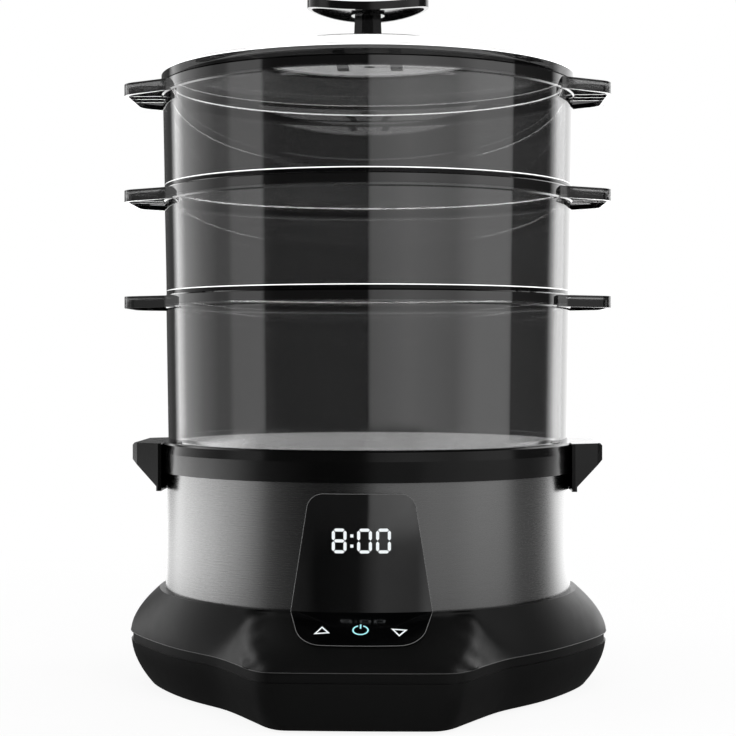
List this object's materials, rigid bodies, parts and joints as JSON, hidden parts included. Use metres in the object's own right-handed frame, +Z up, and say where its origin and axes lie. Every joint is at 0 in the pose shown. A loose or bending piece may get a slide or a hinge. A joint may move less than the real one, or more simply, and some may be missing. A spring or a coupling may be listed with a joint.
{
  "type": "electric food steamer",
  "caption": "Electric food steamer: lobed heating base with a touch panel, brushed band, stacked clear round baskets with wing handles and a domed lid.",
  "frame": {"origin": "on the table under the vertical axis of the appliance", "axes": "+Z up, front with the touch panel towards -Y, +X to the right seen from the front"},
  "size_m": [0.2754, 0.3006, 0.414],
  "materials": {
    "casing_black": "satin black moulding",
    "rim_black": "gloss black moulding",
    "brushed_band": "horizontally brushed",
    "panel_gloss": "polished, light edge",
    "lit_white": "lit from behind",
    "clear_smoke": "polished clear, smoky",
    "clear_floor": "polished clear",
    "vent_pale": "pale satin",
    "handle_black": "gloss black",
    "tub_grey": "moulded grey",
    "tray_smoke": "smooth dark grey",
    "rubber_black": "matt",
    "silicone": "matt translucent",
    "heater_alloy": "spun",
    "sheath_steel": "dull",
    "zinc_steel": "zinc plated",
    "board_green": "solder mask",
    "part_black": "moulded",
    "part_cream": "phenolic",
    "wire_red": "insulation"
  },
  "bodies": {
    "base": {"lower_casing": "casing_black", "upper_casing": "casing_black", "steel_band": "brushed_band", "base_rim": "rim_black", "control_panel": "panel_gloss", "display_figures": "lit_white", "touch_icons": "lit_white", "display_holder": "part_black", "display_module": "part_cream", "control_board": "board_green", "control_board_parts": "part_black", "touch_board": "board_green", "touch_pads": "part_black", "power_board": "board_green", "power_board_parts": "part_black", "board_screws": "zinc_steel", "internal_wires": "wire_red", "reservoir": "tub_grey", "heater_plate": "heater_alloy", "heater_gasket": "silicone", "heater_element": "sheath_steel", "heater_bracket": "zinc_steel", "heater_nuts": "zinc_steel", "thermostat": "part_cream", "thermal_fuse": "zinc_steel", "steam_ring": "tub_grey", "rubber_feet": "rubber_black", "casing_screws": "zinc_steel", "cord_gland": "rubber_black"},
    "drip_tray": {"drip_tray": "tray_smoke"},
    "bottom_tier": {"bottom_basket": "clear_smoke", "bottom_basket_floor": "clear_floor"},
    "middle_tier": {"middle_basket": "clear_smoke", "middle_basket_floor": "clear_floor"},
    "top_tier": {"top_basket": "clear_smoke", "top_basket_floor": "clear_floor"},
    "lid": {"lid_dome": "clear_smoke", "vent_plate": "vent_pale", "handle_stem": "handle_black", "handle_loop": "handle_black", "handle_screw": "zinc_steel"}
  },
  "joints": [
    {"name": "tray_lift", "type": "slide", "parent": "base", "child": "drip_tray", "axis": [0, 0, 1], "range_m": [0, 0.06]},
    {"name": "bottom_tier_lift", "type": "slide", "parent": "drip_tray", "child": "bottom_tier", "axis": [0, 0, 1], "range_m": [0, 0.08]},
    {"name": "middle_tier_lift", "type": "slide", "parent": "bottom_tier", "child": "middle_tier", "axis": [0, 0, 1], "range_m": [0, 0.08]},
    {"name": "top_tier_lift", "type": "slide", "parent": "middle_tier", "child": "top_tier", "axis": [0, 0, 1], "range_m": [0, 0.08]},
    {"name": "lid_lift", "type": "slide", "parent": "top_tier", "child": "lid", "axis": [0, 0, 1], "range_m": [0, 0.08]}
  ]
}
